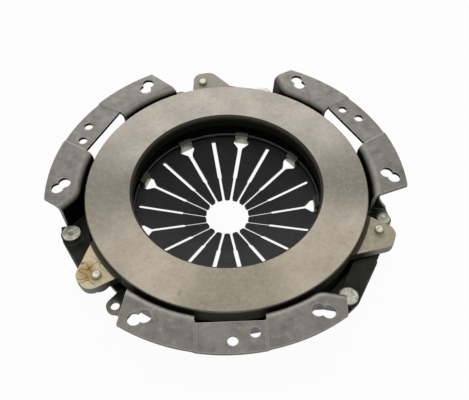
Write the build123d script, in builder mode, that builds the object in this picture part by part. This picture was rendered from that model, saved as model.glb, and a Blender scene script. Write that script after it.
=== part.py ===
from build123d import *

import os
from math import asin, atan, cos, degrees, radians, sin, sqrt

# Clutch pressure plate with a diaphragm spring, for a 200 mm clutch disc. Millimetres.
# The origin is on the axis, in the plane of the three bolting flanges, and +Z points at the flywheel.
# Plan angles are counted counter-clockwise from the middle of the first flange, which lies along -Y.
# The assembly repeats three times: flange, gap with shelf, lug and balance ear, next flange.

# Threefold layout
thirds = 3
flange_middle = 270.0
gap_angle = 60.0

# Friction face, from which the radii of the other parts are set out
face_drop = 2.4
face_outer_radius = 102.0
face_width = 32.0

# Cover pressing
sheet = 2.6
rim_clearance = 1.5
fold_radius = 6.0
wall_lean = 1.8
back_corner_radius = 6.0
collar_edge = 1.6
bead_radius = 1.5
bead_sunk = 0.6
bolt_circle_distance = 18.0
flange_edge = 8.5

# Flange ends in plan: angle of the outer corner, and angle and inset of the root
cw_corner_angle = -33.4
cw_root_angle = -37.6
cw_root_inset = 19.5
ccw_corner_angle = 33.9
ccw_root_angle = 39.0
ccw_root_inset = 12.8

# Flared wall that leaves the drum to make room for a strap end
flare_start_angle = 30.0
flare_bend_radius = 15.0
flare_turn = 13.5
flare_length = 24.0

# Sunk middle of a flange and the window behind it
middle_left = 23.5
middle_right = 21.5
middle_step = 1.2
middle_ramp = 2.5
middle_inset = 5.4
window_inset = 12.5
window_depth = 20.0

# Bolt holes: two overlapping rounds at each end of a flange, on two pitch circles
bolt_hole_diameter = 9.0
outer_bolt_angle = 30.0
inner_bolt_angle = 27.7
pitch_step = 4.5

# Small round holes in the middle of a flange
locating_hole_diameter = 7.0
locating_hole_angle = 0.0
spare_hole_diameter = 6.8
spare_hole_angle = 6.85
spare_hole_step = 4.0

# Strap shelf
shelf_drop = 23.8
shelf_edge = 7.3
shelf_flat_inset = 4.5
shelf_end = 6.0
shelf_corner_radius = 5.0

# Balance ear, and the web that stiffens it
ear_drop = 19.4
ear_angle = gap_angle + 18.0
ear_hole_distance = 11.5
ear_half_width = 5.9
ear_hole_diameter = 6.3
ear_wall_start = gap_angle + 14.6
ear_heel_angle = gap_angle + 24.0
ear_heel_distance = 11.2
web_setback_angle = 0.5
web_bend_radius = 7.0
web_straight_depth = 8.0
web_middle_depth = 14.0
web_middle_step = 3.0
web_foot_step = 6.8

# Diaphragm spring
spring_thickness = 2.2
spring_slope = 0.2757
fulcrum_drop = 26.95
tip_radius = 16.4
rim_overhang = 3.0
finger_count = 18
slot_narrow = 2.0
slot_wide = 3.2
slot_step_radius = 33.7
slot_end_inset = 3.4
slot_corner_radius = 1.0
spring_window_width = 11.8
spring_window_throat_inset = 10.6
spring_window_shoulder_inset = 6.3
spring_window_end_inset = 1.1
tip_corner_radius = 1.2

# Fulcrum wire and the tabs that hold it
tab_count = 9
tab_angle = 8.0
tab_width = 9.8
tab_tip_overhang = 2.9
tab_root_overhang = 1.6
tab_root_bend = 1.0
wire_diameter = 3.4
wire_inset = 0.1

# Pressure plate
bore_chamfer = 1.5
rim_chamfer = 0.6
inner_thickness = 11.0
outer_thickness = 13.0
ridge_inset = 9.0
outer_flat_inset = 7.0
back_slope_width = 6.0
ridge_tip_radius = 2.0
ridge_foot = 2.6
lug_drop = 6.9
lug_thickness = 6.5
lug_rivet_distance = 10.4
lug_edge = 11.8
lug_angle = gap_angle + 8.3
lug_steep_side = (10.9, 5.6)
lug_long_side = (-26.4, -9.4)
lug_foot_inset = 4.0
lug_root_share = 0.15
lug_corner_radius = 8.0
lug_fillet = 3.0

# Drive straps
leaves_per_strap = 3
leaf_thickness = 0.7
leaf_gap = 0.05
leaf_width = 14.0
leaf_corner_radius = 6.5
leaf_bend_radius = 14.0
leaf_cover_end = 7.6
leaf_lug_end = 7.6
leaf_flat = 9.5

# Rivets
strap_rivet_distance = 12.0
strap_rivet_angle = gap_angle - 17.0
strap_head_diameter = 13.2
strap_head_height = 2.5
strap_shank_diameter = 6.5
strap_tail_diameter = 10.5
strap_tail_height = 2.0
lug_shank_diameter = 6.2
lug_shank_stands_out = 3.0
lug_head_diameter = 11.0
lug_head_height = 2.4
balance_head_diameter = 9.5
balance_head_height = 2.7
balance_tail_diameter = 8.6
balance_tail_height = 1.8
rivet_chamfer = 0.5

# Clearances
shank_clearance = 0.1
bead_clearance = 0.1
wire_clearance = 0.1
ridge_clearance = 0.3

# Radii worked out from the sizes above
wall_radius = face_outer_radius + rim_clearance
outer_pitch_radius = wall_radius + bolt_circle_distance
inner_pitch_radius = outer_pitch_radius - pitch_step
spare_hole_radius = outer_pitch_radius - spare_hole_step
flange_radius = outer_pitch_radius + flange_edge
cw_root_radius = flange_radius - cw_root_inset
ccw_root_radius = flange_radius - ccw_root_inset
ear_hole_radius = wall_radius + ear_hole_distance
strap_rivet_radius = wall_radius + strap_rivet_distance
shelf_radius = strap_rivet_radius + shelf_edge
shelf_flat_distance = shelf_radius - shelf_flat_inset
face_inner_radius = face_outer_radius - face_width
wire_ring_radius = face_inner_radius - wire_inset
collar_inner_radius = wire_ring_radius - collar_edge
tab_tip_radius = wire_ring_radius + tab_tip_overhang
tab_root_radius = wire_ring_radius + tab_root_overhang
slot_end_radius = wire_ring_radius - slot_end_inset
ridge_radius = face_outer_radius - ridge_inset
rim_radius = ridge_radius + rim_overhang
outer_flat_radius = ridge_radius - outer_flat_inset
inner_flat_radius = outer_flat_radius - back_slope_width
lug_rivet_radius = face_outer_radius + lug_rivet_distance
lug_reach = lug_rivet_radius + lug_edge
lug_foot_distance = face_outer_radius - lug_foot_inset

# Heights worked out from the sizes above
shelf_top = -shelf_drop
ear_top = -ear_drop
face_top = -face_drop
lug_top = -lug_drop
lug_bottom = lug_top - lug_thickness
leaf_pitch = leaf_thickness + leaf_gap
strap_stack = (leaves_per_strap - 1) * leaf_pitch + leaf_thickness
spring_lean = degrees(atan(spring_slope))
slant = 1 / cos(radians(spring_lean))


def spring_top(radius):
    """Height of the diaphragm's upper face."""
    return -fulcrum_drop + spring_slope * (radius - wire_ring_radius)


def spring_bottom(radius):
    """Height of the diaphragm's lower face."""
    return spring_top(radius) - spring_thickness * slant


bead_height = spring_bottom(wire_ring_radius) - bead_radius * slant - bead_clearance
back_top = bead_height + bead_sunk
spring_depth = -2 * spring_bottom(tip_radius)


def at(radius, angle, height=0.0):
    """Point at a radius and an angle from the middle of the first flange."""
    turn = radians(flange_middle + angle)
    return Vector(radius * cos(turn), radius * sin(turn), height)


def across(sideways, outwards, angle):
    """Point given along the tangent and outwards along the radius that stands at an angle."""
    return at(outwards, angle) + at(sideways, angle + 90)


def upright_plane(angle, outwards=0.0):
    """Vertical plane square to the radius at an angle: local x along the tangent, local y up."""
    return Plane(origin=at(outwards, angle), x_dir=at(1, angle + 90), z_dir=at(1, angle))


def wall_line(out):
    """Plan line of a flange's wall, set out from the wall's inner face, in the current BuildLine."""
    start = cw_root_angle - 6
    drum = CenterArc((0, 0), wall_radius + out, flange_middle + start, flare_start_angle - start)
    bend = JernArc(drum @ 1, drum % 1, flare_bend_radius - out, -flare_start_angle - flare_turn)
    flare = Line(bend @ 1, bend @ 1 + at(flare_length, 90 - flare_turn))
    return drum, bend, flare


# One third of the cover's rim: a bolting flange, a strap shelf and a balance ear
with BuildPart() as rim_third:
    # Wall and fold, swept along the wall's plan line
    with BuildLine() as fold_path:
        wall_line(0)
    fold_start = fold_path.line @ 0
    with BuildSketch(Plane(origin=fold_start, x_dir=fold_start, z_dir=-(fold_path.line % 0))):
        with BuildLine():
            fold_end = wall_lean + fold_radius + 1
            inside = FilletPolyline((0, shelf_top), (wall_lean, 0), (fold_end, 0), radius=fold_radius)
            outside = FilletPolyline(
                (sheet, shelf_top),
                (wall_lean + sheet, -sheet),
                (fold_end, -sheet),
                radius=fold_radius - sheet,
            )
            Line(inside @ 0, outside @ 0)
            Line(inside @ 1, outside @ 1)
        make_face()
    sweep(path=fold_path.line)
    # Flat of the flange
    with BuildSketch(Plane.XY):
        with BuildLine():
            drum, bend, flare = wall_line(wall_lean + fold_radius)
            far_right = across(flange_radius, flange_radius, 0)
            far_left = across(-flange_radius, flange_radius, 0)
            Polyline(flare @ 1, far_right, far_left, drum @ 0)
        make_face()
    extrude(amount=-sheet)
    # Window behind the middle
    middle_centre = (middle_right - middle_left) / 2
    with BuildSketch(Plane.XY.offset(sheet)):
        with Locations(across(middle_centre, flange_radius, 0)):
            Rectangle(middle_left + middle_right, 2 * (flange_radius - wall_radius + window_inset))
    extrude(amount=-sheet - window_depth, mode=Mode.SUBTRACT)
    # Sunk middle, with a ramp at each end
    middle_inner_distance = wall_radius + middle_inset
    with BuildSketch(upright_plane(0, middle_inner_distance)):
        with BuildLine():
            half_ramp = middle_ramp / 2
            Polyline(
                (-middle_left - middle_ramp, 0),
                (-middle_left - half_ramp, 0),
                (-middle_left + half_ramp, -middle_step),
                (middle_right - half_ramp, -middle_step),
                (middle_right + half_ramp, 0),
                (middle_right + middle_ramp, 0),
            )
            offset(amount=sheet, side=Side.RIGHT, kind=Kind.INTERSECTION)
        make_face()
    extrude(amount=flange_radius - middle_inner_distance)
    # Outline: a round outer edge and two straight ends
    cw_corner = at(flange_radius, cw_corner_angle)
    cw_root = at(cw_root_radius, cw_root_angle)
    ccw_corner = at(flange_radius, ccw_corner_angle)
    ccw_root = at(ccw_root_radius, ccw_root_angle)
    with BuildSketch(Plane.XY.offset(sheet)):
        Circle(flange_radius)
        with BuildLine():
            Polyline(
                cw_root + (cw_root - cw_corner) * 2,
                cw_corner + (cw_corner - cw_root),
                ccw_corner + (ccw_corner - ccw_root) * 2,
                ccw_root + (ccw_root - ccw_corner) * 4,
                close=True,
            )
        make_face(mode=Mode.INTERSECT)
    extrude(amount=-spring_depth, mode=Mode.INTERSECT)
    # Bolt holes and small round holes
    with BuildSketch(Plane.XY.offset(sheet)):
        for side in (-1, 1):
            with Locations(at(outer_pitch_radius, side * outer_bolt_angle)):
                Circle(bolt_hole_diameter / 2)
            with Locations(at(inner_pitch_radius, side * inner_bolt_angle)):
                Circle(bolt_hole_diameter / 2)
        with Locations(at(outer_pitch_radius, locating_hole_angle)):
            Circle(locating_hole_diameter / 2)
        with Locations(at(spare_hole_radius, spare_hole_angle)):
            Circle(spare_hole_diameter / 2)
    extrude(amount=-sheet * 4, mode=Mode.SUBTRACT)
    # Strap shelf, with the hole for the strap rivet
    with BuildLine(mode=Mode.PRIVATE):
        shelf_side = wall_line(sheet)[2]
    flare_end = shelf_side @ 0.5
    with BuildSketch(Plane.XY.offset(shelf_top)):
        Circle(shelf_radius)
        Circle(wall_radius + sheet / 2, mode=Mode.SUBTRACT)
        with BuildLine():
            FilletPolyline(
                across(shelf_end, wall_radius / 2, gap_angle),
                across(shelf_end, shelf_flat_distance, gap_angle),
                across(-sqrt(shelf_radius**2 - shelf_flat_distance**2), shelf_flat_distance, gap_angle),
                at(shelf_radius * 1.2, strap_rivet_angle),
                flare_end * 1.2,
                flare_end,
                shelf_side @ 0,
                across(0, (shelf_side @ 0).dot(at(1, 0)), 0),
                radius=(0, shelf_corner_radius, 0, 0, 0, 0, 0, 0),
                close=True,
            )
        make_face(mode=Mode.INTERSECT)
        with Locations(at(strap_rivet_radius, strap_rivet_angle)):
            Circle(strap_shank_diameter / 2 + shank_clearance, mode=Mode.SUBTRACT)
    extrude(amount=-sheet)
    # Balance ear, with its hole
    web_angle = 2 * gap_angle + cw_root_angle + web_setback_angle
    web_foot_radius = cw_root_radius + web_foot_step
    with BuildSketch(Plane.XY.offset(ear_top)):
        with PolarLocations((wall_radius + sheet / 2 + ear_hole_radius) / 2, 1, flange_middle + ear_angle):
            Rectangle(ear_hole_radius - wall_radius - sheet / 2, 2 * ear_half_width)
        with Locations(at(ear_hole_radius, ear_angle)):
            Circle(ear_half_width)
        with BuildLine():
            Polyline(
                at(wall_radius + sheet / 2, ear_angle),
                at(ear_hole_radius, ear_angle) + at(ear_half_width, 45 + ear_angle),
                at(web_foot_radius, web_angle),
                at(wall_radius + ear_heel_distance, ear_heel_angle),
                at(wall_radius + sheet / 2, ear_heel_angle),
                close=True,
            )
        make_face()
        with Locations(at(ear_hole_radius, ear_angle)):
            Circle(ear_hole_diameter / 2, mode=Mode.SUBTRACT)
    extrude(amount=-sheet)
    # Wall under the ear, up to the next flange
    with BuildSketch(Plane.XY.offset(ear_top)):
        with BuildLine():
            ear_turn = web_angle + 1 - ear_wall_start
            wall_inside = CenterArc((0, 0), wall_radius, flange_middle + ear_wall_start, ear_turn)
            wall_outside = CenterArc((0, 0), wall_radius + sheet, flange_middle + ear_wall_start, ear_turn)
            Line(wall_inside @ 0, wall_outside @ 0)
            Line(wall_inside @ 1, wall_outside @ 1)
        make_face()
    extrude(amount=shelf_top - ear_top)

# Web from the end of a flange down to the balance ear: the wall bends outwards to a slanting edge
with BuildPart() as ear_web:
    web_bend_turn = degrees(asin(web_bend_radius / (wall_radius + web_bend_radius)))
    with BuildSketch(Plane.XY):
        with BuildLine():
            bends = []
            for out in (0, sheet):
                bend_start = at(wall_radius + out, web_angle + web_bend_turn)
                heading = at(-1, web_angle + web_bend_turn + 90)
                bend = JernArc(bend_start, heading, web_bend_radius - out, 90 - web_bend_turn)
                bends += [bend, Line(bend @ 1, bend @ 1 + at(ear_hole_distance, web_angle))]
            Line(bends[0] @ 0, bends[2] @ 0)
            Line(bends[1] @ 1, bends[3] @ 1)
        make_face()
    extrude(amount=ear_top - sheet)
    with BuildSketch(Plane(origin=(0, 0, 0), x_dir=at(1, web_angle), z_dir=at(-1, web_angle + 90))):
        with BuildLine():
            Polyline(
                (wall_radius + sheet / 2, ear_top - sheet),
                (wall_radius + sheet / 2 + wall_lean, -fold_radius - sheet),
                (cw_root_radius, -sheet / 2),
                (cw_root_radius, -web_straight_depth),
                (cw_root_radius + web_middle_step, -web_middle_depth),
                (web_foot_radius, ear_top),
                (web_foot_radius, ear_top - sheet),
                close=True,
            )
        make_face()
    extrude(amount=web_bend_radius + sheet, both=True, mode=Mode.INTERSECT)

# Nine tabs, folded outwards over the fulcrum wire
wire_height = spring_top(wire_ring_radius) + wire_diameter / 2 * slant + bead_clearance
fold_inside = wire_diameter / 2 + wire_clearance
tab_stem_radius = wire_ring_radius - fold_inside - sheet
tab_top = wire_height + fold_inside + sheet
with BuildPart() as tabs:
    with BuildSketch(Plane.XZ):
        with BuildLine():
            FilletPolyline(
                (tab_root_radius, back_top - sheet),
                (tab_stem_radius, back_top - sheet),
                (tab_stem_radius, tab_top),
                (tab_tip_radius, tab_top),
                radius=(tab_root_bend + sheet, fold_inside + sheet),
            )
            offset(amount=sheet, side=Side.RIGHT)
        make_face()
    revolve(axis=Axis.Z)
    with BuildSketch(Plane.XY.offset(tab_top + sheet)):
        with PolarLocations(tab_stem_radius, tab_count, flange_middle + tab_angle):
            Rectangle(4 * (tab_tip_radius - tab_stem_radius), tab_width)
    extrude(amount=-spring_depth, mode=Mode.INTERSECT)

# Cover: drum and back in one turned shape, with the rim thirds and the tabs
with BuildPart() as cover:
    with BuildSketch(Plane.XZ):
        with BuildLine():
            FilletPolyline(
                (collar_inner_radius, back_top),
                (wall_radius, back_top),
                (wall_radius, shelf_top),
                radius=back_corner_radius - sheet,
            )
            offset(amount=sheet, side=Side.RIGHT)
        make_face()
    revolve(axis=Axis.Z)
    # Raised bead under the diaphragm
    with BuildSketch(Plane.XZ):
        with Locations((wire_ring_radius, bead_height)):
            Circle(bead_radius)
    revolve(axis=Axis.Z)
    with PolarLocations(0, thirds):
        add(rim_third.part)
        add(ear_web.part)
    add(tabs.part)

# Diaphragm spring: a slotted cone
with BuildPart() as diaphragm:
    with BuildSketch(Plane.XZ):
        with BuildLine():
            Polyline(
                (tip_radius, spring_top(tip_radius)),
                (rim_radius, spring_top(rim_radius)),
                (rim_radius, spring_bottom(rim_radius)),
                (tip_radius, spring_bottom(tip_radius)),
                close=True,
            )
        make_face()
    revolve(axis=Axis.Z)
    # Slots between the fingers
    with BuildSketch(Plane.XY):
        with PolarLocations((tip_radius + slot_step_radius) / 2, finger_count, flange_middle + tab_angle):
            Rectangle(slot_step_radius - tip_radius + slot_wide, slot_narrow)
        slot_middle_radius = (slot_step_radius + slot_end_radius) / 2
        with PolarLocations(slot_middle_radius, finger_count, flange_middle + tab_angle):
            RectangleRounded(slot_end_radius - slot_step_radius, slot_wide, slot_corner_radius)
        # Windows for the tabs
        with BuildSketch(mode=Mode.PRIVATE) as spring_window:
            with BuildLine():
                throat = slot_wide / 2
                side = spring_window_width / 2
                throat_radius = wire_ring_radius - spring_window_throat_inset
                shoulder_radius = wire_ring_radius - spring_window_shoulder_inset
                end_radius = wire_ring_radius - spring_window_end_inset
                FilletPolyline(
                    (throat_radius - slot_wide, -throat),
                    (throat_radius, -throat),
                    (shoulder_radius, -side),
                    (end_radius, -side),
                    (end_radius, side),
                    (shoulder_radius, side),
                    (throat_radius, throat),
                    (throat_radius - slot_wide, throat),
                    radius=(0, 3, slot_corner_radius, 1.5, 1.5, slot_corner_radius, 3, 0),
                    close=True,
                )
            make_face()
        with PolarLocations(0, tab_count, flange_middle + tab_angle):
            add(spring_window.sketch)
    extrude(amount=-spring_depth, mode=Mode.SUBTRACT)
    # Rounded corners of the finger tips
    tip_edges = diaphragm.edges().filter_by(Axis.Z).filter_by(
        lambda edge: sqrt(edge.center().X ** 2 + edge.center().Y ** 2) < tip_radius + spring_thickness
    )
    fillet(tip_edges, tip_corner_radius)

# Fulcrum wire, closed to a ring
with BuildPart() as fulcrum_ring:
    with BuildSketch(Plane.XZ):
        with Locations((wire_ring_radius, wire_height)):
            Circle(wire_diameter / 2)
    revolve(axis=Axis.Z)

# Pressure plate: a machined ring with a fulcrum ridge on its back and three lugs
with BuildPart() as plate:
    bore_radius = face_inner_radius - bore_chamfer
    inner_back = face_top - inner_thickness
    outer_back = face_top - outer_thickness
    ridge_centre = spring_top(ridge_radius) + ridge_tip_radius * slant + ridge_clearance
    with BuildSketch(Plane.XZ):
        with BuildLine():
            profile = Polyline(
                (ridge_radius + ridge_tip_radius, ridge_centre),
                (ridge_radius + ridge_tip_radius + ridge_foot, outer_back),
                (face_outer_radius, outer_back),
                (face_outer_radius, face_top - rim_chamfer),
                (face_outer_radius - rim_chamfer, face_top),
                (face_inner_radius, face_top),
                (bore_radius, face_top - bore_chamfer),
                (bore_radius, inner_back),
                (inner_flat_radius, inner_back),
                (outer_flat_radius, outer_back),
                (ridge_radius - ridge_tip_radius - ridge_foot, outer_back),
                (ridge_radius - ridge_tip_radius, ridge_centre),
            )
            ThreePointArc(profile @ 1, (ridge_radius, ridge_centre - ridge_tip_radius), profile @ 0)
        make_face()
    revolve(axis=Axis.Z)
    for third in range(thirds):
        turn = lug_angle + third * 360 / thirds
        with BuildSketch(Plane.XY.offset(lug_top)):
            with BuildLine():
                steep_foot = across(lug_steep_side[0], lug_foot_distance, turn)
                steep_end = across(lug_steep_side[1], lug_reach, turn)
                long_foot = across(lug_long_side[0], lug_foot_distance, turn)
                long_end = across(lug_long_side[1], lug_reach, turn)
                FilletPolyline(
                    steep_foot + (steep_foot - steep_end) * lug_root_share,
                    steep_end,
                    long_end,
                    long_foot + (long_foot - long_end) * lug_root_share,
                    radius=(0, lug_corner_radius, lug_corner_radius, 0),
                    close=True,
                )
            make_face()
        extrude(amount=-lug_thickness)
    # Hollow corners where the lugs leave the rim
    corner_edges = plate.edges().filter_by(Axis.Z).filter_by(
        lambda edge: abs(sqrt(edge.center().X ** 2 + edge.center().Y ** 2) - face_outer_radius) < 0.01
    )
    fillet(corner_edges, lug_fillet)
    with BuildSketch(Plane.XY.offset(lug_top)):
        with PolarLocations(lug_rivet_radius, thirds, flange_middle + lug_angle):
            Circle(lug_shank_diameter / 2 + shank_clearance)
    extrude(amount=-lug_thickness, mode=Mode.SUBTRACT)


def strap_leaf(gap, level):
    """One spring leaf, from the shelf up to the underside of the lug. Level 0 lies on the shelf."""
    middle = gap_angle + gap * 360 / thirds
    turn = gap * 360 / thirds
    cover_hole = at(strap_rivet_radius, strap_rivet_angle + turn)
    lug_hole = at(lug_rivet_radius, lug_angle + turn)
    tangent = at(1, middle + 90)
    radial = at(1, middle)
    near = cover_hole.dot(tangent)
    far = lug_hole.dot(tangent)
    inner_side = (cover_hole + lug_hole).dot(radial) / 2 - leaf_width / 2
    low = shelf_top + level * leaf_pitch
    high = lug_bottom - strap_stack + level * leaf_pitch
    with BuildPart() as leaf:
        with BuildSketch(upright_plane(middle, inner_side)):
            with BuildLine():
                lines = [
                    FilletPolyline(
                        (near - leaf_cover_end, low + lift),
                        (near + leaf_flat, low + lift),
                        (far - leaf_flat, high + lift),
                        (far + leaf_lug_end, high + lift),
                        radius=leaf_bend_radius,
                    )
                    for lift in (0, leaf_thickness)
                ]
                Line(lines[0] @ 0, lines[1] @ 0)
                Line(lines[0] @ 1, lines[1] @ 1)
            make_face()
        extrude(amount=leaf_width)
        fillet(leaf.edges().filter_by(Axis.Z), leaf_corner_radius)
        with BuildSketch(Plane.XY):
            with Locations(cover_hole):
                Circle(strap_shank_diameter / 2 + shank_clearance)
            with Locations(lug_hole):
                Circle(lug_shank_diameter / 2 + shank_clearance)
        extrude(amount=-spring_depth, mode=Mode.SUBTRACT)
    return leaf


def turned(centre, outline):
    """Turned piece on a vertical axis: the outline gives radius and height, round from the axis."""
    with BuildPart() as piece:
        with BuildSketch(Plane(origin=centre, x_dir=(1, 0, 0), z_dir=(0, -1, 0))):
            with BuildLine():
                Polyline(*outline, close=True)
            make_face()
        revolve(axis=Axis(centre, (0, 0, 1)))
    return piece


def rivet(centre, top, head, head_height, shank, grip, tail, tail_height):
    """Rivet with its head on top: diameters of head, shank and tail, and the grip between them."""
    seat = top - head_height
    tail_top = seat - grip
    bottom = tail_top - tail_height
    outline = (
        (0, top),
        (head / 2 - rivet_chamfer, top),
        (head / 2, top - rivet_chamfer),
        (head / 2, seat),
        (shank / 2, seat),
        (shank / 2, tail_top),
        (tail / 2, tail_top),
        (tail / 2, bottom + rivet_chamfer),
        (tail / 2 - rivet_chamfer, bottom),
        (0, bottom),
    )
    return turned(centre, outline)


def lug_rivet(centre):
    """Rivet whose head lies under the strap and whose plain end stands out of the lug."""
    end = lug_top + lug_shank_stands_out
    seat = lug_bottom - strap_stack
    bottom = seat - lug_head_height
    shank = lug_shank_diameter / 2
    outline = (
        (0, end),
        (shank - 2 * rivet_chamfer, end),
        (shank - rivet_chamfer / 3, end - rivet_chamfer),
        (shank, end - 3 * rivet_chamfer),
        (shank, seat),
        (lug_head_diameter / 2, seat),
        (lug_head_diameter / 2, bottom + rivet_chamfer),
        (lug_head_diameter / 2 - rivet_chamfer, bottom),
        (0, bottom),
    )
    return turned(centre, outline)


# Write every piece
os.makedirs("parts", exist_ok=True)
pieces = {
    "cover": cover,
    "diaphragm_spring": diaphragm,
    "fulcrum_ring": fulcrum_ring,
    "pressure_plate": plate,
}
for third in range(thirds):
    turn = third * 360 / thirds
    for level in range(leaves_per_strap):
        pieces[f"strap_{third + 1}_leaf_{level + 1}"] = strap_leaf(third, level)
    pieces[f"strap_rivet_{third + 1}"] = rivet(
        at(strap_rivet_radius, strap_rivet_angle + turn),
        shelf_top + strap_stack + strap_head_height,
        strap_head_diameter,
        strap_head_height,
        strap_shank_diameter,
        strap_stack + sheet,
        strap_tail_diameter,
        strap_tail_height,
    )
    pieces[f"lug_rivet_{third + 1}"] = lug_rivet(at(lug_rivet_radius, lug_angle + turn))
pieces["balance_rivet"] = rivet(
    at(ear_hole_radius, ear_angle),
    ear_top + balance_head_height,
    balance_head_diameter,
    balance_head_height,
    ear_hole_diameter - 2 * shank_clearance,
    sheet,
    balance_tail_diameter,
    balance_tail_height,
)
for name, piece in pieces.items():
    piece.part.label = name
    export_step(piece.part, f"parts/{name}.step")
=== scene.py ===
from math import cos, pi, radians, sin

import bmesh
import bpy
from mathutils import Matrix, Vector


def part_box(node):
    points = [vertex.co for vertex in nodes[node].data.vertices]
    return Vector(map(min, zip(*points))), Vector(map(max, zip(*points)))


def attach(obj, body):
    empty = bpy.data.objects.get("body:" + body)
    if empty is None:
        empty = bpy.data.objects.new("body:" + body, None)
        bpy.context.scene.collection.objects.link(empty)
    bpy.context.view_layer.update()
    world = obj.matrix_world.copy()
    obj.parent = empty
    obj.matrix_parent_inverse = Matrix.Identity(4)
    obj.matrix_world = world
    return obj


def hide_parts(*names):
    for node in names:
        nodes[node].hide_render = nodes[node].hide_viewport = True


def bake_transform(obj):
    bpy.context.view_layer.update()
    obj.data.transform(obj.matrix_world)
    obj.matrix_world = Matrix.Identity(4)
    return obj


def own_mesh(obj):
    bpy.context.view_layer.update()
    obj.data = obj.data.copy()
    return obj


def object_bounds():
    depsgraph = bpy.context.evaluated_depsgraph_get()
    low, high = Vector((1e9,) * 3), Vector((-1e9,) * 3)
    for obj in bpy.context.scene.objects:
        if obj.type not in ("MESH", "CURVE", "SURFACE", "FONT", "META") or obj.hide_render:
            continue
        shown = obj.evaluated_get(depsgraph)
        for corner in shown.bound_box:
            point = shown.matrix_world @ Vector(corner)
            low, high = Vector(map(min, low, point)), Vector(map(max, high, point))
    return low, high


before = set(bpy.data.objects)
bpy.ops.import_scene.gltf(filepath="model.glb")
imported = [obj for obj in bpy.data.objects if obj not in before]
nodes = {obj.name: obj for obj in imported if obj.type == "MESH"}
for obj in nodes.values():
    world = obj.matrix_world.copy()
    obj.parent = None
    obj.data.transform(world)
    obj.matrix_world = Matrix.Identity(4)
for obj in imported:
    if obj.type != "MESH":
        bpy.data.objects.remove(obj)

cad_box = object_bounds()

# Camera. The object stands a little turned, its first flange 1.9 degrees to the right of the lens,
# and the lens looks down on it at 53.3 degrees from just under half a metre.
film_width = 36
image_width = 469
focal_pixels = 637.4
elevation = radians(53.34)
roll = radians(-0.388)
object_turn = radians(1.9)
aim_height = -0.0024
lens_right, lens_down, lens_back = 0.005722, 0.011258, 0.46117
right = Vector((cos(roll), sin(roll) * sin(elevation), sin(roll) * cos(elevation)))
down = Vector((sin(roll), -cos(roll) * sin(elevation), -cos(roll) * cos(elevation)))
forward = Vector((0, cos(elevation), -sin(elevation)))
stand = lens_right * right + lens_down * down - lens_back * forward
turn = Matrix.Rotation(-object_turn, 3, "Z")
camera_data = bpy.data.cameras.new("camera")
camera_data.sensor_width = film_width
camera_data.lens = film_width * focal_pixels / image_width
camera = bpy.data.objects.new("camera", camera_data)
bpy.context.collection.objects.link(camera)
axes = Matrix((turn @ right, turn @ -down, turn @ -forward)).transposed()
camera.matrix_world = Matrix.Translation(turn @ stand + Vector((0, 0, aim_height))) @ axes.to_4x4()
bpy.context.scene.camera = camera

# Studio. A sheet of white paper lies under the part. A wide soft lamp low behind it gives the metal its
# sheen towards the lens, and weaker ones overhead and at the front left fill the front.


def srgb(text):
    """Linear colour from an sRGB hex value."""
    parts = [int(text[i:i + 2], 16) / 255 for i in (1, 3, 5)]
    linear = [p / 12.92 if p <= 0.04045 else ((p + 0.055) / 1.055) ** 2.4 for p in parts]
    return (*linear, 1.0)


def add(tree, kind, feeds=None, **settings):
    """Add a node, set its properties, and feed its sockets with values or links."""
    made = tree.nodes.new(kind)
    for name, value in settings.items():
        setattr(made, name, value)
    for socket, value in (feeds or {}).items():
        if isinstance(value, bpy.types.NodeSocket):
            tree.links.new(value, made.inputs[socket])
        else:
            made.inputs[socket].default_value = value
    return made


def seen_by_lens(tree):
    """One where the lens sees this, straight, mirrored in metal or through glass, and nought elsewhere."""
    rays = add(tree, "ShaderNodeLightPath").outputs
    seen = rays["Is Camera Ray"]
    for ray in ("Is Transmission Ray", "Is Glossy Ray"):
        seen = add(tree, "ShaderNodeMath", {0: seen, 1: rays[ray]}, operation="MAXIMUM").outputs[0]
    return seen


bpy.context.scene.view_settings.view_transform = "Standard"
room_light = 0.24
world = bpy.data.worlds.new("studio")
bpy.context.scene.world = world
world.use_nodes = True
tree = world.node_tree
tree.nodes.clear()
strength = add(tree, "ShaderNodeMapRange", {"Value": seen_by_lens(tree), "To Min": room_light, "To Max": 1.0})
light = add(tree, "ShaderNodeBackground", {"Color": srgb("#FFFFFF"), "Strength": strength.outputs["Result"]})
add(tree, "ShaderNodeOutputWorld", {"Surface": light.outputs[0]})

floor_height = cad_box[0][2]
floor_reach = 3.0
corners = [(x * floor_reach, y * floor_reach, floor_height) for x, y in ((-1, -1), (1, -1), (1, 1), (-1, 1))]
floor_mesh = bpy.data.meshes.new("floor")
floor_mesh.from_pydata(corners, [], [(0, 1, 2, 3)])
floor = bpy.data.objects.new("floor", floor_mesh)
bpy.context.collection.objects.link(floor)
# White paper gives the eye plain white: it glows where the lens sees it, and is matt to the lamps.
paper_glow = 0.96
paper = bpy.data.materials.new("white_paper_sweep")
paper.use_nodes = True
tree = paper.node_tree
tree.nodes.clear()
share = add(tree, "ShaderNodeMath", {0: seen_by_lens(tree), 1: paper_glow}, operation="MULTIPLY")
matt = add(tree, "ShaderNodeBsdfDiffuse", {"Color": srgb("#F4F4F4")})
glow = add(tree, "ShaderNodeEmission", {"Color": srgb("#FFFFFF"), "Strength": 1.0})
both = add(tree, "ShaderNodeMixShader", {0: share.outputs[0], 1: matt.outputs[0], 2: glow.outputs[0]})
add(tree, "ShaderNodeOutputMaterial", {"Surface": both.outputs[0]})
floor_mesh.materials.append(paper)


def soft_lamp(name, place, size, watts):
    """Square soft lamp at a place, turned to the middle of the part."""
    data = bpy.data.lights.new(name, "AREA")
    data.shape = "SQUARE"
    data.size = size
    data.energy = watts
    lamp = bpy.data.objects.new(name, data)
    lamp.location = place
    lamp.rotation_euler = Vector(place).to_track_quat("Z", "Y").to_euler()
    bpy.context.collection.objects.link(lamp)


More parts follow.
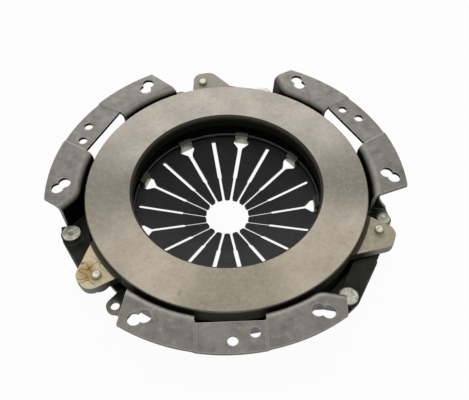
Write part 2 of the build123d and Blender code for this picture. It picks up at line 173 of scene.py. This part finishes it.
soft_lamp("behind", (-0.05, 1.25, 0.75), size=1.1, watts=7)
soft_lamp("overhead", (0.0, -0.25, 1.3), size=0.7, watts=2)
soft_lamp("front_left", (-0.9, -0.7, 0.5), size=0.5, watts=1)

# Cover. A drum with three flanges, drawn and pierced from bare cold-rolled sheet and left unpainted:
# mottled mid grey where it lies open, painted shade inside its walls, a painted highlight on its cut edges.


def begin(name, **settings):
    """New material: its tree, object coordinates, and the shader with its even settings."""
    material = bpy.data.materials.new(name)
    material.use_nodes = True
    tree = material.node_tree
    tree.nodes.clear()
    place = add(tree, "ShaderNodeTexCoord").outputs["Object"]
    shader = add(tree, "ShaderNodeBsdfPrincipled", settings)
    add(tree, "ShaderNodeOutputMaterial", {"Surface": shader.outputs[0]})
    return material, tree, place, shader


def tinted(tree, under, over, value, none_at, full_at, most=1.0):
    """Lay a colour over another, from none to the most as a value goes from one level to the other."""
    amount = add(tree, "ShaderNodeMapRange", {"Value": value, "From Min": none_at, "From Max": full_at,
                                              "To Max": most})
    under, over = (srgb(colour) if isinstance(colour, str) else colour for colour in (under, over))
    feeds = {"Factor": amount.outputs["Result"], 6: under, 7: over}
    return add(tree, "ShaderNodeMix", feeds, data_type="RGBA").outputs[2]


def distance_from_axis(tree, place):
    """How far a point lies from the axis."""
    flat = add(tree, "ShaderNodeVectorMath", {0: place, 1: (1, 1, 0)}, operation="MULTIPLY").outputs[0]
    return add(tree, "ShaderNodeVectorMath", {0: flat}, operation="LENGTH").outputs["Value"]


def cloud_roughness(tree, shader, clouds, low, high):
    """Let the gloss change a little from cloud to cloud."""
    spread = {"Value": clouds, "From Min": 0.3, "From Max": 0.7, "To Min": low, "To Max": high}
    rough = add(tree, "ShaderNodeMapRange", spread).outputs["Result"]
    tree.links.new(rough, shader.inputs["Roughness"])


def dress(node, material):
    """Give a carried-over CAD node its finish."""
    mesh = nodes[node].data
    mesh.materials.clear()
    mesh.materials.append(material)


# Cold-rolled sheet gives the eye a soft grey with clouds of 20 mm, mottling of 6.5 mm and no polish.
# The orange-peel grain from drawing is finer in truth, and is drawn at 1.2 mm so that it shows.
bare_sheet, tree, place, shader = begin("bare_cold_rolled_sheet", Metallic=1.0)
cloud_size = 0.020
mottle_size = 0.0065
grain_size = 0.0012
grain_depth = 0.00004
edge_width = 0.0006
clouds = add(tree, "ShaderNodeTexNoise", {"Vector": place, "Scale": 1 / cloud_size, "Detail": 4.0}).outputs[0]
mottle = add(tree, "ShaderNodeTexNoise", {"Vector": place, "Scale": 1 / mottle_size, "Detail": 5.0,
                                          "Roughness": 0.6}).outputs[0]
grain = add(tree, "ShaderNodeTexNoise", {"Vector": place, "Scale": 1 / grain_size, "Detail": 2.0}).outputs[0]
open_colour = tinted(tree, "#686660", "#7D7B74", clouds, 0.3, 0.7)
open_colour = tinted(tree, open_colour, "#8F8F88", mottle, 0.52, 0.72, 0.55)
open_colour = tinted(tree, open_colour, "#4E4E49", mottle, 0.46, 0.30, 0.60)
open_colour = tinted(tree, open_colour, "#565650", grain, 0.35, 0.65, 0.30)
# A painted highlight lies along the fold from each flange to its wall, where the sheet starts to turn down.
normal = add(tree, "ShaderNodeNewGeometry").outputs["Normal"]
upward = add(tree, "ShaderNodeSeparateXYZ", {0: normal}).outputs["Z"]
fold_highlight = add(tree, "ShaderNodeMapRange", {"Value": upward, "From Min": 0.60, "From Max": 0.85, "To Max": 0.2})
open_colour = tinted(tree, open_colour, "#A3A39B", upward, 0.995, 0.95, fold_highlight.outputs["Result"])
# Walls get painted shade: nearly black on their inside faces, grey on their outside faces.
from_axis = distance_from_axis(tree, place)
flat_place = add(tree, "ShaderNodeVectorMath", {0: place, 1: (1, 1, 0)}, operation="MULTIPLY").outputs[0]
away = add(tree, "ShaderNodeVectorMath", {0: flat_place}, operation="NORMALIZE").outputs[0]
outward = add(tree, "ShaderNodeVectorMath", {0: away, 1: normal}, operation="DOT_PRODUCT").outputs["Value"]
shaded_wall_colour = tinted(tree, "#171713", "#60605A", outward, -0.2, 0.3)
# Tabs get painted shade over their bend and a painted highlight at their tips.
tab_from, tab_full = 0.0715, 0.0705
tip_from, tip_full = 0.0688, 0.0676
tab_light_and_shade = tinted(tree, "#42423D", "#A6A69E", from_axis, tip_from, tip_full)
shaded_wall_colour = tinted(tree, shaded_wall_colour, tab_light_and_shade, from_axis, tab_from, tab_full)
open_colour = tinted(tree, open_colour, tab_light_and_shade, from_axis, tab_from, tab_full, 0.8)
level = add(tree, "ShaderNodeMath", {0: upward}, operation="ABSOLUTE").outputs[0]
sheet_colour = tinted(tree, shaded_wall_colour, open_colour, level, 0.15, 0.85)
# The strap shelves and the roots of the balance ears, deep beside the plate, are nearly black.
shelf_from, shelf_full = -0.0205, -0.0225
root_from, root_full = -0.0170, -0.0190
drum_from, drum_full = 0.116, 0.110
height = add(tree, "ShaderNodeSeparateXYZ", {0: place}).outputs["Z"]
shelf = add(tree, "ShaderNodeMapRange", {"Value": height, "From Min": shelf_from, "From Max": shelf_full,
                                         "To Max": 0.9}).outputs["Result"]
near_drum = add(tree, "ShaderNodeMapRange", {"Value": from_axis, "From Min": drum_from, "From Max": drum_full,
                                             "To Max": 0.9}).outputs["Result"]
ear_root = add(tree, "ShaderNodeMapRange", {"Value": height, "From Min": root_from, "From Max": root_full,
                                            "To Max": near_drum}).outputs["Result"]
dark = add(tree, "ShaderNodeMath", {0: shelf, 1: ear_root}, operation="MAXIMUM").outputs[0]
sheet_colour = tinted(tree, sheet_colour, "#1C1C18", upward, 0.3, 0.6, dark)
# Corners get a painted highlight, dimmed by painted shade the deeper they lie.
deep, shallow = -0.016, -0.006
soft_edge = add(tree, "ShaderNodeBevel", {"Radius": edge_width}, samples=4).outputs[0]
edge_gap = add(tree, "ShaderNodeVectorMath", {0: soft_edge, 1: normal},
               operation="DOT_PRODUCT").outputs["Value"]
edge_highlight = add(tree, "ShaderNodeMapRange", {"Value": height, "From Min": deep, "From Max": shallow,
                                         "To Min": 0.2, "To Max": 0.8}).outputs["Result"]
sheet_colour = tinted(tree, sheet_colour, "#C2C2BA", edge_gap, 0.995, 0.90, edge_highlight)
tree.links.new(sheet_colour, shader.inputs["Base Color"])
cloud_roughness(tree, shader, clouds, 0.42, 0.56)
peel = add(tree, "ShaderNodeBump", {"Height": grain, "Distance": grain_depth, "Strength": 0.6,
                                    "Normal": soft_edge})
tree.links.new(peel.outputs[0], shader.inputs["Normal"])
dress("cover", bare_sheet)

# Pressure plate. A grey-iron casting, ground in circles on its friction face and machined on the edge
# of its rim and on its lug tops.
plate_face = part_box("pressure_plate")[1][2]
# Ground iron gives the eye a warm grey with a dull sheen, clouds of 28 mm, mottling of 3 mm and small
# pits. The grinding circles are finer in truth, and are drawn 3.2 mm apart so that they show.
ground_iron, tree, place, shader = begin("ground_grey_iron", Metallic=1.0)
cloud_size = 0.028
mottle_size = 0.0030
pit_spacing, pit_radius, pit_floor = 0.0048, 0.000432, 0.00024
pit_patch_size = 0.009
circle_spacing, circle_depth = 0.0031667, 0.00003
skin_grain_size, skin_grain_depth = 0.0022, 0.00025
edge_width = 0.0005
clouds = add(tree, "ShaderNodeTexNoise", {"Vector": place, "Scale": 1 / cloud_size, "Detail": 5.0}).outputs[0]
mottle = add(tree, "ShaderNodeTexNoise", {"Vector": place, "Scale": 1 / mottle_size, "Detail": 6.0,
                                          "Roughness": 0.65}).outputs[0]
# A face ground in circles shows bright and dull wedges where it mirrors the lamps. They are a painted
# reflection here, drawn as colour in three tones, at shares of a turn counted from -X.
bright, half_bright, dull = "#B0AAA0", "#918D83", "#817F77"
stops = ((0.0, dull), (0.12, bright), (0.18, bright), (0.22, half_bright), (0.285, half_bright),
         (0.33, bright), (0.42, bright), (0.50, dull), (0.60, bright), (0.90, bright), (1.0, dull))
turn_share = add(tree, "ShaderNodeTexGradient", {"Vector": place}, gradient_type="RADIAL").outputs["Fac"]
reflection_wedges = add(tree, "ShaderNodeValToRGB", {0: turn_share})
ramp = reflection_wedges.color_ramp
ramp.interpolation = "EASE"
ramp.elements[0].color = srgb(stops[0][1])
ramp.elements[1].color = srgb(stops[-1][1])
for position, colour in stops[1:-1]:
    ramp.elements.new(position).color = srgb(colour)
ground_colour = tinted(tree, reflection_wedges.outputs[0], "#8F8A80", clouds, 0.35, 0.65, 0.22)
# The front half is a little browner.
front_from, front_full = 0.02, -0.05
across = add(tree, "ShaderNodeSeparateXYZ", {0: place}).outputs["Y"]
height = add(tree, "ShaderNodeSeparateXYZ", {0: place}).outputs["Z"]
ground_colour = tinted(tree, ground_colour, "#B09A6E", across, front_from, front_full, 0.14)
ground_colour = tinted(tree, ground_colour, "#CBC4B4", mottle, 0.50, 0.72, 0.20)
ground_colour = tinted(tree, ground_colour, "#7C766B", mottle, 0.48, 0.30, 0.24)
pits = add(tree, "ShaderNodeTexVoronoi", {"Vector": place, "Scale": 1 / pit_spacing}).outputs["Distance"]
patches = add(tree, "ShaderNodeTexNoise", {"Vector": place, "Scale": 1 / pit_patch_size,
                                           "Detail": 2.0}).outputs[0]
pitted = add(tree, "ShaderNodeMapRange", {"Value": patches, "From Min": 0.52, "From Max": 0.60,
                                          "To Max": 0.6}).outputs["Result"]
ground_colour = tinted(tree, ground_colour, "#5A554A", pits, pit_radius / pit_spacing,
                       pit_floor / pit_spacing, pitted)
# Here and there runs a bent hairline, a few millimetres long.
bend_size, bend_reach = 0.012, 0.011
hairline_spacing, hairline_reach, hairline_core = 0.019, 0.000285, 0.000095
hairline_patch_size = 0.007
bend = add(tree, "ShaderNodeTexNoise", {"Vector": place, "Scale": 1 / bend_size}).outputs[1]
bend = add(tree, "ShaderNodeVectorMath", {0: bend, 1: (bend_reach, bend_reach, 0)},
           operation="MULTIPLY").outputs[0]
bent_place = add(tree, "ShaderNodeVectorMath", {0: place, 1: bend}, operation="ADD").outputs[0]
hairlines = add(tree, "ShaderNodeTexVoronoi", {"Vector": bent_place, "Scale": 1 / hairline_spacing},
                feature="DISTANCE_TO_EDGE").outputs["Distance"]
patches = add(tree, "ShaderNodeTexNoise", {"Vector": place, "Scale": 1 / hairline_patch_size,
                                           "Detail": 1.0}).outputs[0]
scratched = add(tree, "ShaderNodeMapRange", {"Value": patches, "From Min": 0.58, "From Max": 0.66,
                                             "To Max": 0.3}).outputs["Result"]
ground_colour = tinted(tree, ground_colour, "#66604F", hairlines, hairline_reach / hairline_spacing,
                       hairline_core / hairline_spacing, scratched)
# Lug tops stand 4.5 mm under the ground face and are darker, and the one at the back is greyer.
back_from, back_full = 0.06, 0.09
from_axis = distance_from_axis(tree, place)
lug_colour = tinted(tree, "#938C7A", "#A69F8D", mottle, 0.35, 0.65)
lug_colour = tinted(tree, lug_colour, "#958F86", across, back_from, back_full, 0.85)
# One lug is washed beige, with an ochre stain and brown tide marks on it.
stain_centre = (-0.0950, -0.0665, -0.0069)
wash_from, wash_full = 0.0335, 0.0255
stain_from, stain_full = 0.0125, 0.0085
marks_from, marks_full = 0.0135, 0.0105
tide_size, tide_reach = 0.0075, 0.008
to_stain = add(tree, "ShaderNodeVectorMath", {0: place, 1: stain_centre}, operation="SUBTRACT").outputs[0]
from_stain = add(tree, "ShaderNodeVectorMath", {0: to_stain}, operation="LENGTH").outputs["Value"]
lug_colour = tinted(tree, lug_colour, "#C6BCA2", from_stain, wash_from, wash_full, 0.85)
tide = add(tree, "ShaderNodeTexNoise", {"Vector": place, "Scale": 1 / tide_size, "Detail": 0.6}).outputs[0]
uneven = add(tree, "ShaderNodeMath", {0: tide, 1: tide_reach, 2: from_stain},
             operation="MULTIPLY_ADD").outputs[0]
lug_colour = tinted(tree, lug_colour, "#9F8249", uneven, stain_from, stain_full, 0.70)
off_line = add(tree, "ShaderNodeMath", {0: tide, 1: 0.5}, operation="SUBTRACT").outputs[0]
off_line = add(tree, "ShaderNodeMath", {0: off_line}, operation="ABSOLUTE").outputs[0]
marked = add(tree, "ShaderNodeMapRange", {"Value": from_stain, "From Min": marks_from, "From Max": marks_full,
                                          "To Max": 0.75}).outputs["Result"]
lug_colour = tinted(tree, lug_colour, "#6E5224", off_line, 0.030, 0.006, marked)
# A dark band runs along the ring on each lug.
band_from, band_full = 0.1052, 0.1046
ground_from, ground_full = plate_face - 0.0036, plate_face - 0.0026
lug_colour = tinted(tree, lug_colour, "#363129", from_axis, band_from, band_full, 0.9)
top_colour = tinted(tree, lug_colour, ground_colour, height, ground_from, ground_full)
# The casting's skin is olive black, with painted shade deep in the bore and a painted highlight at the top of
# the bore. The ends of the lugs are lighter, and the top millimetre of the rim is turned bright.
bore_side, rim_side = 0.080, 0.090
bore_top_from, bore_top_full = plate_face - 0.0050, plate_face - 0.0025
lug_end_from, lug_end_full = 0.108, 0.116
turned_from, turned_full = plate_face - 0.0016, plate_face - 0.0010
skin_grain = add(tree, "ShaderNodeTexNoise", {"Vector": place, "Scale": 1 / skin_grain_size,
                                              "Detail": 3.0}).outputs[0]
side_colour = tinted(tree, "#24231C", "#3B3A30", skin_grain, 0.0, 1.0)
side_colour = tinted(tree, "#1F1E18", side_colour, from_axis, bore_side, rim_side)
bore_lip_light = add(tree, "ShaderNodeMapRange", {"Value": from_axis, "From Min": rim_side, "From Max": bore_side,
                                           "To Max": 0.7}).outputs["Result"]
side_colour = tinted(tree, side_colour, "#504E44", height, bore_top_from, bore_top_full, bore_lip_light)
side_colour = tinted(tree, side_colour, "#8A8A84", from_axis, lug_end_from, lug_end_full, 0.8)
on_rim = add(tree, "ShaderNodeMapRange", {"Value": from_axis, "From Min": bore_side, "From Max": rim_side,
                                          "To Max": 0.8}).outputs["Result"]
side_colour = tinted(tree, side_colour, "#77746A", height, turned_from, turned_full, on_rim)
level_from, level_full = 0.78, 0.97
normal = add(tree, "ShaderNodeNewGeometry").outputs["Normal"]
upward = add(tree, "ShaderNodeSeparateXYZ", {0: normal}).outputs["Z"]
iron_colour = tinted(tree, side_colour, top_colour, upward, level_from, level_full)
tree.links.new(iron_colour, shader.inputs["Base Color"])
cloud_roughness(tree, shader, clouds, 0.68, 0.78)
# At a scale of one, the pattern has one ring in each tenth of pi.
circle_scale = pi / 10 / circle_spacing
circles = add(tree, "ShaderNodeTexWave", {"Vector": place, "Scale": circle_scale, "Distortion": 0.6,
                                          "Detail": 2.0, "Detail Scale": 2.0},
              wave_type="RINGS", rings_direction="Z").outputs[1]
soft_edge = add(tree, "ShaderNodeBevel", {"Radius": edge_width}, samples=4).outputs[0]
ground = add(tree, "ShaderNodeBump", {"Height": circles, "Distance": circle_depth, "Strength": 0.5,
                                      "Normal": soft_edge})
cast = add(tree, "ShaderNodeBump", {"Height": skin_grain, "Distance": skin_grain_depth, "Strength": 0.5,
                                    "Normal": soft_edge})
level = add(tree, "ShaderNodeMapRange", {"Value": upward, "From Min": level_from,
                                         "From Max": level_full}).outputs["Result"]
finish = add(tree, "ShaderNodeMix", {"Factor": level, 4: cast.outputs[0], 5: ground.outputs[0]},
             data_type="VECTOR")
tree.links.new(finish.outputs[1], shader.inputs["Normal"])
dress("pressure_plate", ground_iron)


# Diaphragm spring. A slotted cone of spring steel, hardened, shot-peened and blackened, with a dull
# satin face. It flattens as the plate is pushed back, so it is a copy of its solid that can change shape.

merge_distance = 1e-6
corner_angle = radians(25)


def merged_copy(node, name):
    """Copy of a CAD solid as one joined mesh, smooth except at its corners."""
    source = nodes[node].data
    mesh = bpy.data.meshes.new(name)
    work = bmesh.new()
    work.from_mesh(source)
    bmesh.ops.remove_doubles(work, verts=work.verts, dist=merge_distance)
    for face in work.faces:
        face.smooth = True
    for edge in work.edges:
        if len(edge.link_faces) == 2 and edge.calc_face_angle(0) > corner_angle:
            edge.smooth = False
    work.to_mesh(mesh)
    work.free()
    mesh.materials.clear()
    copy = bpy.data.objects.new(name, mesh)
    bpy.context.collection.objects.link(copy)
    return copy


# Blackened steel gives the eye a near black with faint clouds of 18 mm. The dimples of peening are
# finer in truth, and are drawn at 1.6 mm so that they show.
black_spring, tree, place, shader = begin("blackened_spring_steel", Metallic=0.7, Roughness=0.46)
cloud_size = 0.018
dimple_size, dimple_depth = 0.0016, 0.0001
edge_width = 0.0003
clouds = add(tree, "ShaderNodeTexNoise", {"Vector": place, "Scale": 1 / cloud_size, "Detail": 3.0}).outputs[0]
dimples = add(tree, "ShaderNodeTexNoise", {"Vector": place, "Scale": 1 / dimple_size,
                                           "Detail": 3.0}).outputs[0]
spring_colour = tinted(tree, "#121212", "#1E1E1F", clouds, 0.3, 0.7)
spring_colour = tinted(tree, spring_colour, "#3A3A3B", dimples, 0.55, 0.75, 0.4)
tree.links.new(spring_colour, shader.inputs["Base Color"])
soft_edge = add(tree, "ShaderNodeBevel", {"Radius": edge_width}, samples=4).outputs[0]
peened = add(tree, "ShaderNodeBump", {"Height": dimples, "Distance": dimple_depth, "Strength": 0.4,
                                      "Normal": soft_edge})
tree.links.new(peened.outputs[0], shader.inputs["Normal"])
spring = merged_copy("diaphragm_spring", "diaphragm")
spring.data.materials.append(black_spring)
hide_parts("diaphragm_spring")
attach(spring, "cover")
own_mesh(spring)

# Fulcrum wire. Drawn steel wire, bent and closed to a ring, and held on the spring by the cover's tabs.
# It gives the eye a dark, half-bright line with handling marks of 6 mm.
drawn_wire, tree, place, shader = begin("drawn_steel_wire", Metallic=1.0, Roughness=0.34)
mark_size = 0.006
marks = add(tree, "ShaderNodeTexNoise", {"Vector": place, "Scale": 1 / mark_size, "Detail": 3.0}).outputs[0]
tree.links.new(tinted(tree, "#242424", "#3C3C38", marks, 0.0, 1.0), shader.inputs["Base Color"])
dress("fulcrum_ring", drawn_wire)

# Drive straps. Three spring-steel leaves to a pack, blanked from rolled strip and blackened. Each is
# riveted to the cover at one end and to the plate at the other, and bends as the plate moves.
# Rolled and blackened strip gives the eye a satin black with clouds of 8 mm.
strap_steel, tree, place, shader = begin("rolled_strap_steel", Metallic=0.9)
cloud_size = 0.008
clouds = add(tree, "ShaderNodeTexNoise", {"Vector": place, "Scale": 1 / cloud_size, "Detail": 4.0}).outputs[0]
tree.links.new(tinted(tree, "#161613", "#2A2A25", clouds, 0.3, 0.7), shader.inputs["Base Color"])
cloud_roughness(tree, shader, clouds, 0.36, 0.50)


for number in (1, 2, 3):
    for level in (1, 2, 3):
        leaf_node = f"strap_{number}_leaf_{level}"
        leaf = merged_copy(leaf_node, f"leaf_{number}_{level}")
        leaf.data.materials.append(strap_steel)
        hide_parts(leaf_node)
        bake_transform(leaf)

# Rivets. Soft steel, headed cold: broad flat heads with a punch mark on the straps, plain ends
# standing out of the lugs, and one small head on a balance ear.
# Cold-headed steel gives the eye a light, half-bright metal with clouds of 4 mm and specks of 1.1 mm.
rivet_steel, tree, place, shader = begin("cold_headed_rivet_steel", Metallic=1.0)
cloud_size = 0.004
speck_size = 0.0011
clouds = add(tree, "ShaderNodeTexNoise", {"Vector": place, "Scale": 1 / cloud_size, "Detail": 3.0}).outputs[0]
specks = add(tree, "ShaderNodeTexNoise", {"Vector": place, "Scale": 1 / speck_size, "Detail": 2.0}).outputs[0]
rivet_colour = tinted(tree, "#98988B", "#C9C9B9", clouds, 0.3, 0.7)
rivet_colour = tinted(tree, rivet_colour, "#5F5F54", specks, 0.50, 0.66, 0.55)
tree.links.new(rivet_colour, shader.inputs["Base Color"])
cloud_roughness(tree, shader, clouds, 0.36, 0.48)

rivet_sizes = ("Head Diameter", "Head Height", "Edge Round", "Punch Diameter", "Punch Depth",
               "Shank Diameter", "Grip", "Tail Diameter", "Tail Height")
shank_round = 1e-5


def rivet_tree():
    """Node tree that sets a turned rivet on every point: head, punch mark, shank and formed tail."""
    tree = bpy.data.node_groups.new("turned_rivets", "GeometryNodeTree")
    sockets = tree.interface
    sockets.new_socket("Geometry", in_out="INPUT", socket_type="NodeSocketGeometry")
    for name in rivet_sizes:
        sockets.new_socket(name, in_out="INPUT", socket_type="NodeSocketFloat")
    sockets.new_socket("Material", in_out="INPUT", socket_type="NodeSocketMaterial")
    sockets.new_socket("Geometry", in_out="OUTPUT", socket_type="NodeSocketGeometry")
    given = add(tree, "NodeGroupInput").outputs

    def disc(diameter, thickness, lift, rounded, punch=None):
        """Short cylinder with a rounded top edge, standing on a height, and a bowl punched in its top."""
        radius = add(tree, "ShaderNodeMath", {0: diameter, 1: 0.5}, operation="MULTIPLY").outputs[0]
        blank = add(tree, "GeometryNodeMeshCylinder", {"Vertices": 64, "Side Segments": 6,
                                                       "Fill Segments": 14, "Radius": radius,
                                                       "Depth": thickness}).outputs["Mesh"]
        place = add(tree, "GeometryNodeInputPosition").outputs[0]
        reach = distance_from_axis(tree, place)
        # The top sinks along a quarter circle over the last stretch before the rim.
        inset = add(tree, "ShaderNodeMath", {0: radius, 1: reach}, operation="SUBTRACT").outputs[0]
        inset = add(tree, "ShaderNodeMath", {0: inset, 1: rounded}, operation="MINIMUM").outputs[0]
        past = add(tree, "ShaderNodeMath", {0: rounded, 1: inset}, operation="SUBTRACT").outputs[0]
        past_square = add(tree, "ShaderNodeMath", {0: past, 1: past}, operation="MULTIPLY").outputs[0]
        square = add(tree, "ShaderNodeMath", {0: rounded, 1: rounded}, operation="MULTIPLY").outputs[0]
        square = add(tree, "ShaderNodeMath", {0: square, 1: past_square}, operation="SUBTRACT").outputs[0]
        square = add(tree, "ShaderNodeMath", {0: square, 1: 0.0}, operation="MAXIMUM").outputs[0]
        rise = add(tree, "ShaderNodeMath", {0: square}, operation="SQRT").outputs[0]
        drop = add(tree, "ShaderNodeMath", {0: rounded, 1: rise}, operation="SUBTRACT").outputs[0]
        if punch:
            punch_diameter, punch_depth = punch
            bowl = add(tree, "ShaderNodeMath", {0: punch_diameter, 1: 0.5}, operation="MULTIPLY").outputs[0]
            bowl = add(tree, "ShaderNodeMath", {0: reach, 1: bowl}, operation="DIVIDE").outputs[0]
            bowl = add(tree, "ShaderNodeMath", {0: bowl, 1: 1.0}, operation="MINIMUM").outputs[0]
            bowl = add(tree, "ShaderNodeMath", {0: bowl, 1: 4.0}, operation="POWER").outputs[0]
            bowl = add(tree, "ShaderNodeMath", {0: 1.0, 1: bowl}, operation="SUBTRACT").outputs[0]
            bowl = add(tree, "ShaderNodeMath", {0: bowl, 1: punch_depth}, operation="MULTIPLY").outputs[0]
            drop = add(tree, "ShaderNodeMath", {0: drop, 1: bowl}, operation="ADD").outputs[0]
        # Only the top sinks: it lies half the thickness over the middle, less a hair.
        limit = add(tree, "ShaderNodeMath", {0: thickness, 1: 0.5, 2: -1e-6},
                    operation="MULTIPLY_ADD").outputs[0]
        height = add(tree, "ShaderNodeSeparateXYZ", {0: place}).outputs["Z"]
        top = add(tree, "ShaderNodeMath", {0: height, 1: limit}, operation="GREATER_THAN").outputs[0]
        down = add(tree, "ShaderNodeMath", {0: drop, 1: top}, operation="MULTIPLY").outputs[0]
        down = add(tree, "ShaderNodeMath", {0: down, 1: -1.0}, operation="MULTIPLY").outputs[0]
        lowered = add(tree, "ShaderNodeCombineXYZ", {2: down}).outputs[0]
        shape = add(tree, "GeometryNodeSetPosition", {"Geometry": blank, "Offset": lowered}).outputs[0]
        middle = add(tree, "ShaderNodeMath", {0: thickness, 1: 0.5, 2: lift},
                     operation="MULTIPLY_ADD").outputs[0]
        stand = add(tree, "ShaderNodeCombineXYZ", {2: middle}).outputs[0]
        return add(tree, "GeometryNodeTransform", {"Geometry": shape, "Translation": stand}).outputs[0]

    under = add(tree, "ShaderNodeMath", {0: given["Grip"], 1: -1.0}, operation="MULTIPLY").outputs[0]
    under_place = add(tree, "ShaderNodeCombineXYZ", {2: under}).outputs[0]
    head = disc(given["Head Diameter"], given["Head Height"], 0.0, given["Edge Round"],
                (given["Punch Diameter"], given["Punch Depth"]))
    shank = disc(given["Shank Diameter"], given["Grip"], under, shank_round)
    tail = disc(given["Tail Diameter"], given["Tail Height"], 0.0, given["Edge Round"])
    tail = add(tree, "GeometryNodeTransform", {"Geometry": tail, "Rotation": (pi, 0, 0),
                                               "Translation": under_place}).outputs[0]
    whole = add(tree, "GeometryNodeJoinGeometry")
    for shape in (head, shank, tail):
        tree.links.new(shape, whole.inputs[0])
    smooth = add(tree, "GeometryNodeSetShadeSmooth", {"Geometry": whole.outputs[0]}).outputs[0]
    spots = add(tree, "GeometryNodeMeshToPoints", {"Mesh": given["Geometry"]}).outputs[0]
    set_out = add(tree, "GeometryNodeInstanceOnPoints", {"Points": spots, "Instance": smooth}).outputs[0]
    real = add(tree, "GeometryNodeRealizeInstances", {"Geometry": set_out}).outputs[0]
    dressed = add(tree, "GeometryNodeSetMaterial", {"Geometry": real, "Material": given["Material"]})
    add(tree, "NodeGroupOutput", {"Geometry": dressed.outputs[0]})
    return tree


turned_rivets = rivet_tree()


def set_rivets(name, rivets, body, **sizes):
    """Rivets in the places of their CAD nodes, by the tree, made one plain mesh that rides on a body."""
    given = {size: sizes[size.lower().replace(" ", "_")] for size in rivet_sizes}
    seats = []
    for rivet in rivets:
        low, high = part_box(rivet)
        seats.append(((low[0] + high[0]) / 2, (low[1] + high[1]) / 2, high[2] - given["Head Height"]))
    points = bpy.data.meshes.new(name + "_seats")
    points.from_pydata(seats, [], [])
    made = bpy.data.objects.new(name + "_seats", points)
    bpy.context.collection.objects.link(made)
    modifier = made.modifiers.new("rivets", "NODES")
    modifier.node_group = turned_rivets
    for item in turned_rivets.interface.items_tree:
        if item.in_out == "INPUT" and item.name in given:
            modifier[item.identifier] = given[item.name]
        if item.in_out == "INPUT" and item.name == "Material":
            modifier[item.identifier] = rivet_steel
    view = bpy.context.evaluated_depsgraph_get()
    mesh = bpy.data.meshes.new_from_object(made.evaluated_get(view), depsgraph=view)
    bpy.data.objects.remove(made)
    whole = bpy.data.objects.new(name, mesh)
    bpy.context.collection.objects.link(whole)
    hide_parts(*rivets)
    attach(whole, body)


set_rivets("strap_rivets", [f"strap_rivet_{number}" for number in (1, 2, 3)], "cover",
           head_diameter=0.0132, head_height=0.0025, edge_round=0.0007, punch_diameter=0.0050,
           punch_depth=0.00035, shank_diameter=0.0065, grip=0.0048, tail_diameter=0.0105, tail_height=0.0020)
set_rivets("balance_rivet_head", ["balance_rivet"], "cover",
           head_diameter=0.0095, head_height=0.0027, edge_round=0.0010, punch_diameter=0.0034,
           punch_depth=0.0003, shank_diameter=0.0061, grip=0.0026, tail_diameter=0.0086, tail_height=0.0018)
set_rivets("lug_rivets", [f"lug_rivet_{number}" for number in (1, 2, 3)], "pressure_plate",
           head_diameter=0.0062, head_height=0.0030, edge_round=0.0011, punch_diameter=0.0026,
           punch_depth=0.0002, shank_diameter=0.0062, grip=0.0087, tail_diameter=0.0110, tail_height=0.0024)
